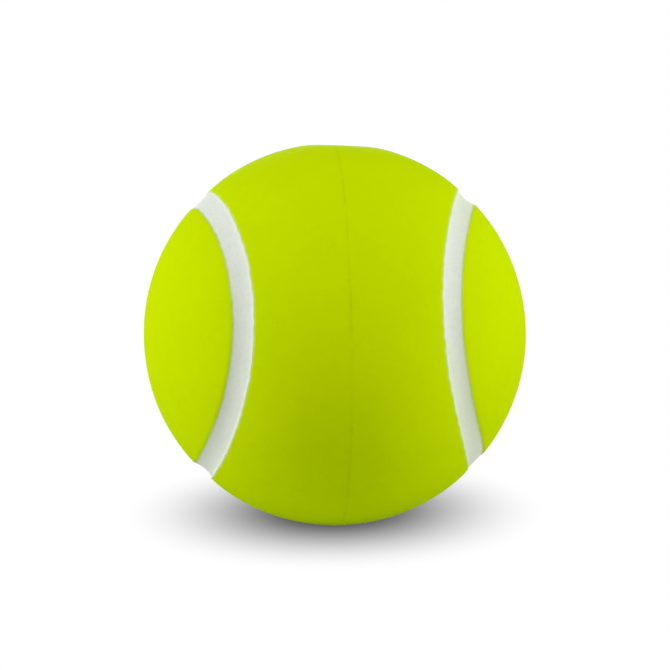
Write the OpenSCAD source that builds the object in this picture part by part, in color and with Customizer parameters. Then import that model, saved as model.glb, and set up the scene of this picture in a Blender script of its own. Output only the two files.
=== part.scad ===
// Soft foam tennis ball: a foam core, four panels of dense green skin and the two
// halves of the white seam lining. Front is -Y, up is +Z, and the origin is the ball's
// centre. Millimetres and degrees.

/* [Ball] */
// Diameter over the green panels
ball_d = 66; // [60:0.5:72]
// How far the ball is rolled back where it lies
lie_angle = 20; // [0:1:25]

/* [Green skin] */
// Thickness of the dense skin of a panel
skin_t = 1.2; // [0.9:0.1:1.5]
// Rounding where a panel turns down into the seam channel
lip_r = 0.3; // [0.2:0.05:0.4]
// Bond line between neighbouring pieces
bond_gap = 0.05; // [0.03:0.01:0.1]
// Hairline left where the skins of the two mould halves met
mould_gap = 0.1; // [0.06:0.02:0.2]

/* [White seam] */
// Waist of a panel, straight across between the middles of the seam
waist_w = 33; // [29:0.5:37]
// Width of the white band between the green panels
band_w = 3.8; // [3:0.1:5]
// Depth of the channel's floor below the panels
channel_depth = 0.65; // [0.5:0.05:0.9]
// How square the channel is, from a round bottom to a flat floor
floor_squareness = 2.5; // [2:0.5:4]
// Thickness of the white lining under the channel's floor
lining_t = 1.1; // [1:0.1:1.5]
// Thickness of the lining's two upper edges
lining_edge_t = 0.15; // [0.1:0.05:0.3]

/* [Pour gate] */
// Diameter of the flat where the pour gate was trimmed off
gate_d = 11; // [8:0.5:14]
// How far up the mould line from the waist's middle the gate lies
gate_angle = 76; // [65:1:90]

/* [Hidden] */
$fn = 96;

ball_r = ball_d / 2;
skin_inner_r = ball_r - skin_t;
core_r = skin_inner_r - bond_gap;
lining_bottom = channel_depth + lining_t;
// Half the slot that the lining fills between two panels
slot_half_w = band_w / 2 + bond_gap;
// How far a cutter runs past what it cuts
overrun = 0.3;
// Radius that every cutter reaches, well outside the ball
cutter_share = 1.2;
cutter_r = ball_r * cutter_share;

// The middle of the seam is a curve that lies on the ball all the way round: a first
// harmonic, a third harmonic and the rise between them that keeps it on the sphere.
third_share = (1 - waist_w / ball_d) / 2;
first_share = 1 - third_share;
rise_share = 2 * sqrt(first_share * third_share);

// Stations round the whole seam, an even number
seam_stations = 144;
// Facets across a panel's rounded lip
lip_steps = 2;
// Steps across a panel's cutter, outside the ball
cap_steps = 4;
// Facets across the channel of the lining
channel_steps = 8;

function unit(v) = v / norm(v);

// Direction from the ball's centre to the middle of the seam at s
function seam_out(s) = [
    first_share * cos(s) - third_share * cos(3 * s),
    -rise_share * cos(2 * s),
    first_share * sin(s) + third_share * sin(3 * s)
];

// Direction in which the seam runs at s
function seam_run(s) = unit([
    3 * third_share * sin(3 * s) - first_share * sin(s),
    2 * rise_share * sin(2 * s),
    3 * third_share * cos(3 * s) + first_share * cos(s)
]);

// A point beside the seam: across is measured on the ball's surface, towards the rear
// panel, and height is measured outwards from that surface.
function seam_point(s, across, height) =
    let (
        out = seam_out(s),
        side = cross(seam_run(s), out),
        turn = across / ball_r * 180 / PI
    )
    (ball_r + height) * (cos(turn) * out + sin(turn) * side);

// Across and height of a panel's edge, from the foot of its rounded lip outwards
lip_profile = concat(
    [for (i = [0:lip_steps - 1])
        let (a = 90 * i / lip_steps)
        [slot_half_w + lip_r * (1 - cos(a)), -lip_r * (1 - sin(a))]],
    let (a = 45 / lip_steps, reach = slot_half_w + lip_r + overrun * cos(a))
    [[reach, overrun * sin(a)], [reach, cutter_r - ball_r]]
);

function station_angle(i) = 360 * (i + 0.5) / seam_stations - 90;

// A ball whose poles lie left and right, in the middle of the rear panel's lobes
module ball(r) {
    rotate([0, 90, 0]) sphere(r);
}

// Everything that belongs to the front panel, from the ball's centre out past its
// surface, with the rounded lip cut into its edge.
module front_region() {
    half = seam_stations / 2;
    loops = len(lip_profile);
    edge = [for (p = lip_profile, i = [0:seam_stations - 1])
        seam_point(station_angle(i), -p[0], p[1])];
    cap = [for (k = [1:half - 2], j = [1:cap_steps - 1])
        let (
            right = edge[(loops - 1) * seam_stations + k],
            spread = asin(right[0] / norm(right)) * (1 - 2 * j / cap_steps)
        )
        cutter_r * (sin(spread) * [1, 0, 0] + cos(spread) * unit([0, right[1], right[2]]))];
    rim = 1 + (loops - 1) * seam_stations;
    function cap_at(k, j) =
        j == 0 ? rim + k :
        j == cap_steps ? rim + seam_stations - 1 - k :
        rim + seam_stations + (k - 1) * (cap_steps - 1) + j - 1;
    polyhedron(
        points = concat([[0, 0, 0]], edge, cap),
        faces = concat(
            [for (i = [0:seam_stations - 1]) [0, 1 + i, 1 + (i + 1) % seam_stations]],
            [for (l = [0:loops - 2], i = [0:seam_stations - 1], t = [0:1])
                let (
                    a = 1 + l * seam_stations + i,
                    b = 1 + l * seam_stations + (i + 1) % seam_stations
                )
                t == 0 ? [a, a + seam_stations, b + seam_stations]
                    : [a, b + seam_stations, b]],
            [for (k = [1:half - 3], j = [0:cap_steps - 1], t = [0:1])
                t == 0 ? [cap_at(k, j), cap_at(k, j + 1), cap_at(k + 1, j + 1)]
                    : [cap_at(k, j), cap_at(k + 1, j + 1), cap_at(k + 1, j)]],
            [for (j = [0:cap_steps - 1]) [cap_at(0, 0), cap_at(1, j + 1), cap_at(1, j)]],
            [[cap_at(0, 0), cap_at(0, cap_steps), cap_at(1, cap_steps)]],
            [for (j = [0:cap_steps - 1])
                [cap_at(half - 2, j), cap_at(half - 2, j + 1), cap_at(half - 1, 0)]],
            [[cap_at(half - 2, cap_steps), cap_at(half - 1, cap_steps), cap_at(half - 1, 0)]]
        )
    );
}

// A half turn about the line between the right lobe and the upper lobe carries the
// front panel on to the rear one, and the seam on to itself.
module rear_region() {
    rotate(180, [1, 0, 1]) front_region();
}

// Everything on one side of the mould line: side is -1 for the left, 1 for the right
module mould_half(side) {
    translate([side * (mould_gap / 2 + cutter_r), 0, 0])
        cube(2 * cutter_r, center = true);
}

// The flat where the pour gate was trimmed off
module gate_trim() {
    gate_height = sqrt(ball_r * ball_r - gate_d * gate_d / 4);
    rotate([-gate_angle, 0, 0])
        translate([0, -gate_height, 0])
            rotate([90, 0, 0])
                cylinder(d = gate_d + 2 * overrun, h = cutter_r - gate_height);
}

// One half of a green panel, as the skin of one mould half
module half_panel(side) {
    difference() {
        intersection() {
            ball(ball_r);
            children();
            mould_half(side);
        }
        ball(skin_inner_r);
        gate_trim();
    }
}

// Across and height of the lining's channel, from its left edge to its right edge
channel_profile = [for (i = [0:channel_steps])
    let (
        a = 180 - 180 * i / channel_steps,
        half_w = band_w / 2 - lining_edge_t,
        depth = channel_depth - lip_r
    )
    [
        half_w * sign(cos(a)) * pow(abs(cos(a)), 2 / floor_squareness),
        -lip_r - depth * pow(abs(sin(a)), 2 / floor_squareness)
    ]];

// The whole section of the lining: the channel, then round its outside
lining_profile = concat(
    channel_profile,
    [
        [band_w / 2, -lip_r],
        [band_w / 2, -lining_bottom],
        [-band_w / 2, -lining_bottom],
        [-band_w / 2, -lip_r]
    ]
);

// The lining in the right mould half, a channel swept along half of the seam
module half_seam() {
    spans = seam_stations / 2;
    n = len(lining_profile);
    // The seam's ends stand back from the mould line by half of the hairline
    trim = mould_gap / 2 / ball_r / (1 + 2 * third_share) * 180 / PI;
    right_bottom = channel_steps + 2;
    left_bottom = channel_steps + 3;
    middle = channel_steps / 2;
    end_face = concat(
        [for (i = [0:middle - 1]) [left_bottom, i, i + 1]],
        [for (i = [middle:channel_steps]) [right_bottom, i, i + 1]],
        [[left_bottom, n - 1, 0], [left_bottom, middle, right_bottom]]
    );
    polyhedron(
        points = [for (i = [0:spans], p = lining_profile)
            seam_point(trim - 90 + (180 - 2 * trim) * i / spans, p[0], p[1])],
        faces = concat(
            [for (i = [0:spans - 1], k = [0:n - 1], t = [0:1])
                let (
                    a = i * n + k,
                    b = i * n + (k + 1) % n
                )
                t == 0 ? [a, b + n, b] : [a, a + n, b + n]],
            end_face,
            [for (f = end_face) [for (v = [f[2], f[1], f[0]]) v + spans * n]]
        )
    );
}

// The groove in the core that both halves of the lining sit in
module seam_groove() {
    profile = [
        [-slot_half_w, -lining_bottom - bond_gap],
        [-slot_half_w, overrun],
        [slot_half_w, overrun],
        [slot_half_w, -lining_bottom - bond_gap]
    ];
    n = len(profile);
    polyhedron(
        points = [for (i = [0:seam_stations - 1], p = profile)
            seam_point(station_angle(i), p[0], p[1])],
        faces = [for (i = [0:seam_stations - 1], k = [0:n - 1], t = [0:1])
            let (
                a = i * n,
                b = (i + 1) % seam_stations * n,
                c = (k + 1) % n
            )
            t == 0 ? [a + k, b + c, a + c] : [a + k, b + k, b + c]]
    );
}

// The ball as it lies: rolled back, with the mould line upright
module lying() {
    rotate([-lie_angle, 0, 0]) children();
}

module foam_core() {
    color("khaki")
        lying() difference() {
            ball(core_r);
            seam_groove();
        }
}

module front_panel_left() {
    color("yellowgreen") lying() half_panel(-1) front_region();
}

module front_panel_right() {
    color("yellowgreen") lying() half_panel(1) front_region();
}

module rear_panel_left() {
    color("yellowgreen") lying() half_panel(-1) rear_region();
}

module rear_panel_right() {
    color("yellowgreen") lying() half_panel(1) rear_region();
}

module seam_left() {
    color("white") lying() rotate([0, 180, 0]) half_seam();
}

module seam_right() {
    color("white") lying() half_seam();
}

foam_core();
front_panel_left();
front_panel_right();
rear_panel_left();
rear_panel_right();
seam_left();
seam_right();
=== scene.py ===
import math

import bmesh
import bpy
import numpy as np
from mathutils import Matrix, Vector, noise


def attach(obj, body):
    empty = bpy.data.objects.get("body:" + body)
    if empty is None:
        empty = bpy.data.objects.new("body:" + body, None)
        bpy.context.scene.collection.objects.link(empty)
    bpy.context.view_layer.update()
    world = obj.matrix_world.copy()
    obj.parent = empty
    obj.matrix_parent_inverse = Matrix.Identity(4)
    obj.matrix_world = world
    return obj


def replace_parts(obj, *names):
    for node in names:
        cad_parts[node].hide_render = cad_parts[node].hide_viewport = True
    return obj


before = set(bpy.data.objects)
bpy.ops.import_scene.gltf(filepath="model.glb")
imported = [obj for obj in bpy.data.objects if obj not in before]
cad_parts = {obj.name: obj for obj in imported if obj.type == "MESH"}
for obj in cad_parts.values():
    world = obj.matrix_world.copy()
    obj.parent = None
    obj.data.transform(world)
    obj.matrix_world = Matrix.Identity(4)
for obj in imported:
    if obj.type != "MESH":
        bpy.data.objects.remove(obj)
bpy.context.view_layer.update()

# Foam core. One solid ball of soft open polyurethane foam, cream inside, that rises in the
# closed mould until it fills it. It grips the skin all over, and the white lining leaves
# it with a groove that follows the tennis curve right round.
mm = 0.001
ball_r = 33 * mm
lie_angle = math.radians(20)
core_r = 31.75 * mm
slot_half_w = 1.95 * mm
groove_depth = 1.8 * mm
foam_cream = (0.80, 0.72, 0.48)
foam_unevenness = 0.0012
foam_hill = 1.6 * mm
core_rows = 145
open_columns = 19
groove_columns = 7
core_weld = 0.015 * mm

# The tennis curve on the ball: a first and a third harmonic, and the rise that keeps it on.
waist_w = 33 * mm
third_share = (1 - waist_w / (2 * ball_r)) / 2
first_share = 1 - third_share
rise_share = 2 * math.sqrt(first_share * third_share)


def seam_frame(s):
    """At stations s along the seam: out from the centre, and across towards the rear panel."""
    out = np.stack([
        first_share * np.cos(s) - third_share * np.cos(3 * s),
        -rise_share * np.cos(2 * s),
        first_share * np.sin(s) + third_share * np.sin(3 * s),
    ], axis=-1)
    run = np.stack([
        3 * third_share * np.sin(3 * s) - first_share * np.sin(s),
        2 * rise_share * np.sin(2 * s),
        3 * third_share * np.cos(3 * s) + first_share * np.cos(s),
    ], axis=-1)
    run /= np.linalg.norm(run, axis=-1, keepdims=True)
    return out, np.cross(run, out)


def middle_of_panel(s, panel):
    """Angle from the seam to the panel's middle line, straight across the panel."""
    off_tip = math.radians(0.05)
    if panel == "front":
        out, across = seam_frame(np.clip(s, -math.pi / 2 + off_tip, math.pi / 2 - off_tip))
        return np.arctan(out[:, 0] / across[:, 0])
    out, across = seam_frame(np.where(np.abs(s) < off_tip, off_tip, s))
    return np.arctan(-out[:, 2] / across[:, 2])


def walk(s, angle):
    """Directions reached from the seam by walking the angles across it, to the rear if positive."""
    out, across = seam_frame(s)
    return np.cos(angle)[..., None] * out[:, None] + np.sin(angle)[..., None] * across[:, None]


def roll_back(points):
    """From the ball's own frame to the way it lies."""
    c, s = math.cos(lie_angle), math.sin(lie_angle)
    x, y, z = points[..., 0], points[..., 1], points[..., 2]
    return np.stack([x, c * y + s * z, c * z - s * y], axis=-1)


def ripple(points, size, seed):
    """Smooth unevenness from about -1 to 1, with hills of that size."""
    start = Vector((7.3 * seed, 3.1 * seed, 5.7 * seed))
    flat = points.reshape(-1, 3) / size
    return np.array([noise.noise(Vector(p) + start) for p in flat]).reshape(points.shape[:-1])


def grid_faces(rows, columns, first=0):
    """Quads between neighbouring rows and columns of points."""
    a = first + np.arange(rows - 1)[:, None] * columns + np.arange(columns - 1)[None]
    return np.stack([a, a + 1, a + columns + 1, a + columns], axis=-1).reshape(-1, 4).tolist()


def make_piece(name, points, faces, weld, material, mist=None):
    """A closed mesh in the CAD frame, smooth but for its sharp corners, riding on the ball."""
    mesh = bpy.data.meshes.new(name)
    mesh.from_pydata(roll_back(points.reshape(-1, 3)).tolist(), [], faces)
    if mist is not None:
        shares = mesh.attributes.new("mist", "FLOAT", "POINT")
        shares.data.foreach_set("value", mist.astype("f").ravel())
    shape = bmesh.new()
    shape.from_mesh(mesh)
    bmesh.ops.remove_doubles(shape, verts=shape.verts, dist=weld)
    bmesh.ops.recalc_face_normals(shape, faces=shape.faces)
    for face in shape.faces:
        face.smooth = True
    corner = math.radians(38)
    for edge in shape.edges:
        edge.smooth = edge.calc_face_angle(0) < corner
    shape.to_mesh(mesh)
    shape.free()
    piece = bpy.data.objects.new(name, mesh)
    bpy.context.scene.collection.objects.link(piece)
    mesh.materials.append(material)
    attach(piece, "root")
    return piece


def node_maker(tree):
    """A maker of nodes in that tree. Sockets are named, or numbered as in i0, and each is
    linked to the socket that it is given or set to the value."""
    def node(kind, settings=None, **inputs):
        made = tree.nodes.new("ShaderNode" + kind)
        for key, value in (settings or {}).items():
            setattr(made, key, value)
        for key, value in inputs.items():
            numbered = key[0] == "i" and key[1:].isdigit()
            socket = made.inputs[int(key[1:]) if numbered else key]
            if isinstance(value, bpy.types.NodeSocket):
                tree.links.new(value, socket)
            else:
                socket.default_value = value
        return made

    return node


def new_material(name):
    """A material with its tree, its shader and its maker of nodes."""
    material = bpy.data.materials.new(name)
    material.use_nodes = True
    tree = material.node_tree
    return material, tree, tree.nodes["Principled BSDF"], node_maker(tree)


def scaled(node, value, low, high, start=0.0, end=1.0, ease="LINEAR"):
    """A value that runs from start to end, made to run from low to high."""
    return node("MapRange", {"interpolation_type": ease}, Value=value, i1=start, i2=end,
                i3=low, i4=high).outputs[0]


def shaded(node, colour, shade):
    """A colour made lighter or darker by a shade that is 1 where it stays as it is."""
    return node("Mix", {"data_type": "RGBA", "blend_type": "MULTIPLY"}, i0=1.0,
                i6=(*colour, 1), i7=shade).outputs[2]


def core_foam():
    """Dull cream foam, full of open cells."""
    material, tree, shader, node = new_material("open_foam")
    place = node("TexCoord").outputs["Object"]
    cells = node("TexVoronoi", Vector=place, Scale=1600).outputs["Distance"]
    cloud = node("TexNoise", Vector=place, Scale=240, Detail=3).outputs["Fac"]
    colour = shaded(node, foam_cream, scaled(node, cloud, 0.90, 1.04))
    tree.links.new(colour, shader.inputs["Base Color"])
    shader.inputs["Roughness"].default_value = 0.95
    shader.inputs["Specular IOR Level"].default_value = 0.15
    bump = node("Bump", Height=cells, Strength=0.8, Distance=0.15 * mm)
    tree.links.new(bump.outputs[0], shader.inputs["Normal"])
    return material


core_stations = np.radians(np.linspace(-90, 90, core_rows))
slot_angle = slot_half_w / ball_r
front_reach = middle_of_panel(core_stations, "front")[:, None]
rear_reach = middle_of_panel(core_stations, "rear")[:, None]
open_shares = np.linspace(0, 1, open_columns)
front_walk = -(front_reach + (slot_angle - front_reach) * open_shares)
rear_walk = slot_angle + (rear_reach - slot_angle) * open_shares
groove_walk = np.tile(np.linspace(-slot_angle, slot_angle, groove_columns), (core_rows, 1))
core_angle = np.concatenate([front_walk, groove_walk, rear_walk], axis=1)
open_height = np.full(front_walk.shape, core_r)
groove_height = np.full(groove_walk.shape, ball_r - groove_depth)
core_height = np.concatenate([open_height, groove_height, open_height], axis=1)
core_points = walk(core_stations, core_angle) * core_height[..., None]
core_points *= (1 - foam_unevenness * (1 + ripple(core_points, foam_hill, 1)))[..., None]

# The two halves of the core share their points on the mould line.
on_line = np.abs(core_points[..., 0]) < 0.001 * mm
core_points[on_line, 0] = 0
both_halves = np.concatenate([core_points, core_points * [-1, 1, 1]])
core_columns = core_points.shape[1]
core_faces = grid_faces(core_rows, core_columns)
core_faces += grid_faces(core_rows, core_columns, core_rows * core_columns)
core = make_piece("core_foam_ball", both_halves, core_faces, core_weld, core_foam())
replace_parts(core, "foam_core")


# White lining. A coat of white polyurethane is sprayed on the rib of each mould half, and
# the foam's own dense skin bonds to its back. It comes out as a shallow round channel that
# wraps over the front panel's edge, and its two halves meet at the mould line.
band_half_w = 1.90 * mm
channel_depth = 0.65 * mm
lining_depth = 1.75 * mm
half_gap = 0.004 * mm
floor_steps = 14
shoulder_steps = 9
lining_weld = 0.0001 * mm

# The channel towards each panel: how far below the ball's surface its wall ends and starts,
# how wide its shoulder is, and its floor's form, 1 for an ellipse and 2 for a parabola.
wall_top = {"front": 0.17 * mm, "rear": 0.28 * mm}
wall_foot = {"front": 0.35 * mm, "rear": 0.30 * mm}
shoulder_w = {"front": 0.26 * mm, "rear": 0.03 * mm}
floor_form = {"front": 1, "rear": 2}

# Where the channel is shallower or deeper: degrees along the seam, spread, and rise.
floor_rises = {
    "left": ((37, 20, 0.26 * mm), (-30, 30, -0.10 * mm)),
    "right": ((-42, 15, 0.26 * mm), (-15, 20, -0.06 * mm)),
}
floor_unevenness = 0.03 * mm
floor_hill = 2.6 * mm
crease_depth = 0.006 * mm
crease_half_w = 0.22 * mm
crease_hill = 1.4 * mm

# The painted edge wanders in waves of these lengths and heights, along a seam that runs
# about 53 mm for each radian of its stations.
seam_pace = 53 * mm
edge_waves = np.array([(1.5, 0.012), (2.2, 0.038), (3.1, 0.026), (4.6, 0.024),
                       (6.5, 0.020), (9.5, 0.024), (16, 0.030)]) * mm
edge_seeds = {
    ("left", "front"): 11,
    ("left", "rear"): 12,
    ("right", "front"): 13,
    ("right", "rear"): 14,
}

paint_white = (0.79, 0.832, 0.762)
lime = (0.583, 0.78, 0.0)
mist_reach = 0.32 * mm
mist_hill = 0.9 * mm
mist_share = 0.5

# The patches where the white is tinted towards lime: where they face, thickest share, spread in
# degrees.
lime_tint_patches = (
    ((0.59, -0.66, -0.47), 0.17, 19),
    ((0.63, -0.48, 0.61), 0.13, 15),
    ((-0.53, -0.80, -0.28), 0.05, 22),
)

# Stations along half of the seam, close together at its two ends on the mould line.
end_degrees = np.array([0, 0.05, 0.12, 0.2, 0.3, 0.42, 0.58, 0.8, 1.1, 1.5, 2])
half_seam_degrees = np.concatenate([
    end_degrees - 90,
    np.linspace(-87.5, 87.5, 501),
    90 - end_degrees[::-1],
])
half_seam = np.radians(half_seam_degrees)


def edge_wave(side, panel):
    """How far a panel's painted edge wanders from its true line, all along half of the seam."""
    draw = np.random.RandomState(edge_seeds[side, panel])
    wave = np.zeros_like(half_seam)
    for length, height in edge_waves:
        turns = 2 * math.pi * seam_pace / length
        swing = height * draw.uniform(0.7, 1.3)
        wave += swing * np.sin(turns * half_seam + draw.uniform(0, 2 * math.pi))
    steadiness = 0.7 + 0.3 * np.sin(5 * half_seam + draw.uniform(0, 2 * math.pi))
    return wave * steadiness


def mould_crease(points):
    """Depth of the faint valley that the mould line leaves."""
    uneven = 0.65 + 0.6 * ripple(points * [0, 1, 1], crease_hill, 3)
    return crease_depth * uneven * np.exp(-(points[..., 0] / crease_half_w) ** 2)


def overspray(from_border, points):
    """Share of the other coat that drifted over the painted border in a fine mist."""
    reach = mist_reach * (1 + 0.5 * ripple(points, mist_hill, 7))
    return mist_share * np.clip(1 - from_border / reach, 0, 1) ** 2


def lime_tint(facing):
    """Share of lime mixed into the white, in broad patches."""
    share = np.zeros(facing.shape[:-1])
    for middle, thickest, spread in lime_tint_patches:
        away = np.degrees(np.arccos(np.clip(facing @ np.array(middle), -1, 1)))
        share += thickest * np.exp(-0.5 * (away / spread) ** 2)
    return share


def on_side(facing, side):
    """Directions in the right half of the ball, mirrored for the left half."""
    return facing * [-1, 1, 1] if side == "left" else facing


def clear_of_gap(points, side):
    """Points kept on their own side of the hairline between the two mould halves."""
    if side == "left":
        points[..., 0] = np.minimum(points[..., 0], -half_gap)
    else:
        points[..., 0] = np.maximum(points[..., 0], half_gap)
    return points


def times(node, a, b):
    """One value times another."""
    return node("Math", {"operation": "MULTIPLY"}, i0=a, i1=b).outputs[0]


def misted(node, colour, other_coat):
    """A coat's colour mixed with the other coat's, by the share that each point carries."""
    mist = node("Attribute", {"attribute_name": "mist"}).outputs["Fac"]
    return node("Mix", {"data_type": "RGBA"}, i0=mist, i6=colour, i7=(*other_coat, 1)).outputs[2]


def white_coat():
    """Matte white paint, finely grained."""
    material, tree, shader, node = new_material("white_coat")
    place = node("TexCoord").outputs["Object"]
    broad = node("TexNoise", Vector=place, Scale=230, Detail=3).outputs["Fac"]
    grain = node("TexNoise", Vector=place, Scale=1700, Detail=4, Roughness=0.6).outputs["Fac"]
    shade = times(node, scaled(node, broad, 0.955, 1.03), scaled(node, grain, 0.90, 1.10))
    colour = misted(node, shaded(node, paint_white, shade), lime)
    tree.links.new(colour, shader.inputs["Base Color"])
    tree.links.new(scaled(node, broad, 0.50, 0.66), shader.inputs["Roughness"])
    shader.inputs["Specular IOR Level"].default_value = 0.05
    bump = node("Bump", Height=grain, Strength=0.4, Distance=0.03 * mm)
    tree.links.new(bump.outputs[0], shader.inputs["Normal"])
    return material


def lining_section():
    """The lining's section from the front edge over the channel to the rear edge and round its
    back: places across, drops from the ball's surface, and shares of the floor's depth."""
    place, drop, floor_share = [], [], []
    for panel, way in (("front", -1), ("rear", 1)):
        foot = wall_foot[panel]
        bend = np.linspace(0, math.pi / 2, floor_steps)
        floor_w = (band_half_w - shoulder_w[panel]) * np.sin(bend)
        share = np.cos(bend) ** floor_form[panel]
        floor_drop = foot + (channel_depth - foot) * share
        bend = np.linspace(0, math.pi / 2, shoulder_steps)[1:]
        shoulder = band_half_w - shoulder_w[panel] * np.cos(bend)
        shoulder_drop = foot - (foot - wall_top[panel]) * np.sin(bend)
        place.append(way * np.concatenate([floor_w, shoulder])[::way])
        drop.append(np.concatenate([floor_drop, shoulder_drop])[::way])
        floor_share.append(np.concatenate([share, 0 * shoulder])[::way])
    place = np.concatenate([place[0], place[1][1:], [band_half_w, 0, -band_half_w]])
    drop = np.concatenate([drop[0], drop[1][1:], [lining_depth] * 3])
    floor_share = np.concatenate([floor_share[0], floor_share[1][1:], [0, 0, 0]])
    return place, drop, floor_share


def lining(side, material):
    """One half of the lining: its section swept along half of the seam."""
    place, drop, floor_share = lining_section()
    exposed = drop < lining_depth
    wave = np.where(place < 0, -edge_wave(side, "front")[:, None], edge_wave(side, "rear")[:, None])
    across = place + wave * np.abs(place / band_half_w)
    facing = on_side(walk(half_seam, across / ball_r), side)
    surface = facing * ball_r
    sunk = exposed * np.clip(drop / channel_depth, 0, 1) ** 2
    radius = ball_r - drop + sunk * floor_unevenness * ripple(surface, floor_hill, 2)
    for middle, spread, rise in floor_rises[side]:
        away = (half_seam_degrees - middle) / spread
        radius += floor_share * rise * np.exp(-away[:, None] ** 2)
    radius -= exposed * mould_crease(surface)
    points = clear_of_gap(facing * radius[..., None], side)
    # The share of the other coat: its mist over the painted border, and the patches of lime tint.
    mist = overspray(band_half_w - np.abs(place), surface) + lime_tint(facing)
    rows, columns = points.shape[:2]
    faces = grid_faces(rows, columns)
    for row in range(0, (rows - 1) * columns, columns):
        faces.append([row + columns - 1, row, row + columns, row + 2 * columns - 1])
    top = columns - 3
    for end in (0, (rows - 1) * columns):
        middle = end + top // 2
        rear_corner, bottom, front_corner = end + top, end + top + 1, end + top + 2
        faces += [[front_corner, end + k, end + k + 1] for k in range(top // 2)]
        faces += [[rear_corner, end + k, end + k + 1] for k in range(top // 2, top - 1)]
        faces += [[middle, front_corner, bottom], [middle, bottom, rear_corner]]
    return make_piece("lining_" + side, points, faces, lining_weld, material, mist)


coat_of_white = white_coat()
for side in ("left", "right"):
    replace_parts(lining(side, coat_of_white), "seam_" + side)


# Green panels. The foam's own dense skin, 1.2 mm thick, under a sprayed coat of lime green.
# The front panel runs over the top and the bottom, the rear one round both sides, and
# each came out of the mould in two halves that meet at a faint line.
skin_t = 1.2 * mm
lip_w = {"front": 0.06 * mm, "rear": 0.55 * mm}
lip_drop = {"front": 0.02 * mm, "rear": 0.18 * mm}
pillow_depth = {"front": 0.15 * mm, "rear": 0.10 * mm}
pillow_reach = 2.0 * mm
grime_half_w = 0.40 * mm
grime_full_half_w = 0.04 * mm
panel_weld = 0.0005 * mm

# Lumps of the skin, broad and small. The broad ones are sunk by a share of their height,
# so that none stands out of the ball's true surface by more than a hair.
broad_lump = 0.045 * mm
broad_hill = 13 * mm
broad_sink = 0.6
small_lump = 0.012 * mm
small_hill = 4 * mm

# The pour gate was trimmed off flat, high on the mould line and a little to its right.
gate_angle = math.radians(76)
gate_right = math.radians(2.7)
gate_half_w = 5.5 * mm
gate_ease = 0.17 * mm
gate_unevenness = 0.02 * mm
gate_hill = 1.1 * mm

# Columns of points from a panel's edge inwards, across its middle, and up to the mould line.
edge_columns = np.array([0, 0.006, 0.018, 0.036, 0.06, 0.09, 0.12, 0.16, 0.19, 0.22, 0.33, 0.5,
                         0.7, 1, 1.4, 1.9, 2.6, 3.4]) * mm
middle_columns = 15
mould_columns = np.array([2, 1.3, 0.85, 0.6, 0.42, 0.3, 0.2, 0.12, 0.05, 0]) * mm


def green_coat():
    """Lime paint with a faint mottle, a few shallow pits, and grime along the mould line."""
    material, tree, shader, node = new_material("green_coat")
    place = node("TexCoord").outputs["Object"]
    broad = node("TexNoise", Vector=place, Scale=110, Detail=2).outputs["Fac"]
    mottle = node("TexNoise", Vector=place, Scale=620, Detail=4, Roughness=0.6).outputs["Fac"]
    grain = node("TexNoise", Vector=place, Scale=3000, Detail=2).outputs["Fac"]
    shade = times(node, scaled(node, broad, 0.975, 1.025), scaled(node, mottle, 0.965, 1.03))
    shade = times(node, shade, scaled(node, grain, 0.98, 1.02))
    from_pit = node("TexVoronoi", Vector=place, Scale=620).outputs["Distance"]
    pit_place = node("TexNoise", Vector=place, Scale=300, Detail=1).outputs["Fac"]
    few = scaled(node, pit_place, 0.0, 1.0, 0.60, 0.68)
    pit = times(node, few, scaled(node, from_pit, 1.0, 0.0, 0.10, 0.24))
    shade = times(node, shade, scaled(node, pit, 1.0, 0.955))
    sideways = node("SeparateXYZ", Vector=place).outputs[0]
    from_line = node("Math", {"operation": "ABSOLUTE"}, i0=sideways).outputs[0]
    near = scaled(node, from_line, 1.0, 0.0, grime_full_half_w, grime_half_w, "SMOOTHSTEP")
    grime = node("TexNoise", Vector=place, Scale=380, Detail=5, Roughness=0.7).outputs["Fac"]
    patchy = scaled(node, grime, 0.0, 1.0, 0.36, 0.66)
    shade = times(node, shade, scaled(node, times(node, near, patchy), 1.0, 0.92))
    colour = misted(node, shaded(node, lime, shade), paint_white)
    tree.links.new(colour, shader.inputs["Base Color"])
    tree.links.new(scaled(node, mottle, 0.50, 0.64), shader.inputs["Roughness"])
    shader.inputs["Specular IOR Level"].default_value = 0.001
    relief = node("Math", {"operation": "SUBTRACT"}, i0=times(node, grain, 0.35), i1=pit)
    bump = node("Bump", Height=relief.outputs[0], Strength=0.22, Distance=0.04 * mm)
    tree.links.new(bump.outputs[0], shader.inputs["Normal"])
    return material


def trim_gate(radius, facing, place):
    """The radius with the gate's flat cut in it, uneven as a knife leaves it, its ends eased."""
    gate_out = np.array([
        math.sin(gate_right),
        -math.cos(gate_angle) * math.cos(gate_right),
        math.sin(gate_angle) * math.cos(gate_right),
    ])
    gate_height = math.sqrt(ball_r ** 2 - gate_half_w ** 2)
    flat = gate_height / np.clip(facing @ gate_out, 0.5, 1)
    flat += gate_unevenness * ripple(place, gate_hill, 6)
    return radius - gate_ease * np.logaddexp(0, (radius - flat) / gate_ease)


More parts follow.
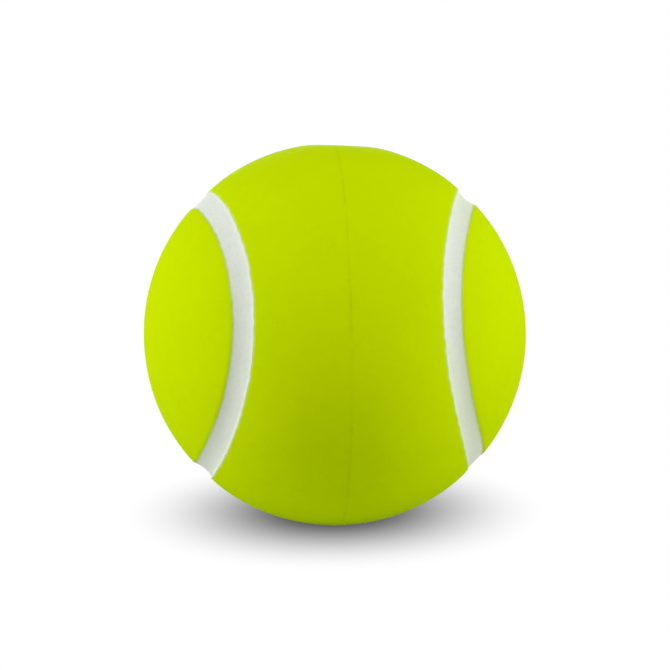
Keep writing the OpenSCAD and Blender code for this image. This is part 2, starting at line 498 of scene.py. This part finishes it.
def green_panel(panel, side, material):
    """One half of a panel: its outer face, its inner face and the walls round its edge."""
    start = (band_half_w + half_gap + edge_wave(side, panel)) / ball_r
    length = (middle_of_panel(half_seam, panel) - start) * ball_r
    ends = mould_columns if panel == "front" else np.array([0.0])
    shares = np.linspace(0, 1, middle_columns + 2)[1:-1]
    room = length - edge_columns[-1] - ends[0]
    from_edge = np.concatenate([
        np.tile(edge_columns, (len(half_seam), 1)),
        edge_columns[-1] + room[:, None] * shares,
        length[:, None] - ends,
    ], axis=1)
    angle = start[:, None] + from_edge / ball_r
    facing = on_side(walk(half_seam, -angle if panel == "front" else angle), side)
    place = facing * ball_r
    lip = np.clip(1 - from_edge / lip_w[panel], 0, None)
    drop = lip_drop[panel] * lip ** 2
    drop += pillow_depth[panel] * np.exp(-from_edge / pillow_reach)
    lumps = broad_lump * (ripple(place, broad_hill, 4) - broad_sink)
    lumps += small_lump * ripple(place, small_hill, 5)
    radius = trim_gate(ball_r - drop + lumps - mould_crease(place), facing, place)
    outer = facing * radius[..., None]
    inner = facing * (ball_r - skin_t)
    points = clear_of_gap(np.stack([outer, inner]), side)
    mist = np.stack([overspray(from_edge, place), np.zeros(from_edge.shape)])
    rows, columns = from_edge.shape
    count = rows * columns
    faces = grid_faces(rows, columns) + grid_faces(rows, columns, count)
    corners = np.arange(count).reshape(rows, columns)
    borders = [corners[:, 0], corners[0], corners[-1]]
    if panel == "front":
        borders.append(corners[:, -1])
    for border in borders:
        border = border.tolist()
        faces += [[a, b, b + count, a + count] for a, b in zip(border, border[1:])]
    return make_piece(f"{panel}_skin_{side}", points, faces, panel_weld, material, mist)


coat_of_green = green_coat()
for panel in ("front", "rear"):
    for side in ("left", "right"):
        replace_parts(green_panel(panel, side, coat_of_green), f"{panel}_panel_{side}")


# Floor and backdrop. A white table that runs on into white, with a soft shadow painted
# under the ball in the white that the camera sees. The painted shadow deepens with how much
# of the sky the ball covers, and ends in an oval that is wider than it is deep.
floor_half = 3.0
shadow_widening = 1.326
shadow_shift = (-0.2 * mm, -1.9 * mm, 0)
shadow_full_reach = 4.5 * mm
shadow_reach = 29.4 * mm
sky_reach = 0.3
sky_light = 0.395
darkest = 0.048
ambient_light = 0.25

floor_mesh = bpy.data.meshes.new("floor")
floor_corners = ((-1, -1), (1, -1), (1, 1), (-1, 1))
floor_mesh.from_pydata([(floor_half * x, floor_half * y, -ball_r) for x, y in floor_corners],
                       [], [(0, 1, 2, 3)])
floor = bpy.data.objects.new("floor", floor_mesh)
bpy.context.scene.collection.objects.link(floor)


def looked_at(node):
    """1 for rays that look: from the camera, by way of gloss or through glass. 0 for light."""
    rays = node("LightPath").outputs
    mirrored = node("Math", {"operation": "MAXIMUM"}, i0=rays["Is Glossy Ray"],
                    i1=rays["Is Transmission Ray"]).outputs[0]
    return node("Math", {"operation": "MAXIMUM"}, i0=rays["Is Camera Ray"], i1=mirrored).outputs[0]


table, table_tree, table_shader, table_node = new_material("white_table")
table_shader.inputs["Base Color"].default_value = (0.70, 0.70, 0.70, 1)
table_shader.inputs["Roughness"].default_value = 0.9
table_shader.inputs["Specular IOR Level"].default_value = 0.0
table_place = table_node("TexCoord").outputs["Object"]
# The shadow is painted: the white seen from the camera is dimmed by how much sky the ball covers,
# and fades back to full white across the oval.
oval_place = table_node("VectorMath", {"operation": "MULTIPLY_ADD"}, i0=table_place,
                        i1=(1 / shadow_widening, 1, 0), i2=shadow_shift).outputs["Vector"]
from_middle = table_node("VectorMath", {"operation": "LENGTH"}, i0=oval_place).outputs["Value"]
far_off = scaled(table_node, from_middle, 0.0, 1.0, shadow_full_reach, shadow_reach, "SMOOTHSTEP")
openness = table_node("AmbientOcclusion", {"samples": 16}, Distance=sky_reach).outputs["AO"]
painted_shade_under_ball = table_node("Math", {"operation": "MULTIPLY_ADD"}, i0=openness, i1=sky_light,
                        i2=darkest).outputs[0]
painted_shadow_strength = table_node("Mix", {"data_type": "FLOAT"}, i0=far_off, i2=painted_shade_under_ball, i3=1.0).outputs[0]
white = table_node("Emission", Strength=painted_shadow_strength).outputs[0]
shown = table_node("MixShader", i0=looked_at(table_node), i1=table_shader.outputs[0],
                   i2=white).outputs[0]
table_tree.links.new(shown, table_tree.nodes["Material Output"].inputs["Surface"])
floor_mesh.materials.append(table)

world = bpy.data.worlds.new("studio")
bpy.context.scene.world = world
world.use_nodes = True
sky = world.node_tree
sky_node = node_maker(sky)
backdrop = sky.nodes["Background"]
backdrop.inputs["Color"].default_value = (1, 1, 1, 1)
backdrop.inputs["Strength"].default_value = 1.0
ambient = sky_node("Background", Color=(1, 1, 1, 1), Strength=ambient_light).outputs[0]
sky_mix = sky_node("MixShader", i0=looked_at(sky_node), i1=ambient, i2=backdrop.outputs[0])
sky.links.new(sky_mix.outputs[0], sky.nodes["World Output"].inputs["Surface"])


# Lamps. A low soft box and a higher one on each side, which leave the middle of the ball a
# little darker than its sides, one above the front and one behind.
lamp_distance = 0.6
lamp_size = 0.24


def out_towards(azimuth, elevation):
    """Direction from the ball, from degrees. Azimuth 0 is in front, 90 to the right."""
    a, e = math.radians(azimuth), math.radians(elevation)
    return Vector((math.sin(a) * math.cos(e), -math.cos(a) * math.cos(e), math.sin(e)))


def soft_box(name, azimuth, elevation, watts):
    """A square soft box, aimed at the ball."""
    away = out_towards(azimuth, elevation)
    lamp = bpy.data.lights.new(name, "AREA")
    lamp.size = lamp_size
    lamp.energy = watts
    box = bpy.data.objects.new(name, lamp)
    box.location = away * lamp_distance
    box.rotation_euler = away.to_track_quat("Z", "Y").to_euler()
    bpy.context.scene.collection.objects.link(box)


soft_box("left_low_box", -85, 5, 0.96)
soft_box("left_high_box", -85, 30, 1.29)
soft_box("right_low_box", 85, 5, 0.69)
soft_box("right_high_box", 70, 30, 1.44)
soft_box("front_top_box", 0, 60, 0.63)
soft_box("back_box", 180, 10, 0.75)


# Camera, where the photograph was taken from: close to the ball, a little above it and two
# centimetres to its left.
view_distance = 0.275
view_azimuth = -4.64
view_elevation = 14
aim_right = 0.03 * mm
aim_up = -0.17 * mm
camera_data = bpy.data.cameras.new("camera")
camera_data.sensor_width = 36
camera_data.lens = 85.04
camera_data.clip_start = 0.01
camera = bpy.data.objects.new("camera", camera_data)
back = out_towards(view_azimuth, view_elevation)
turn = back.to_track_quat("Z", "Y")
camera.rotation_mode = "QUATERNION"
camera.rotation_quaternion = turn
camera.location = back * view_distance + turn @ Vector((aim_right, aim_up, 0))
bpy.context.scene.collection.objects.link(camera)
bpy.context.scene.camera = camera
bpy.context.scene.view_settings.view_transform = "Standard"
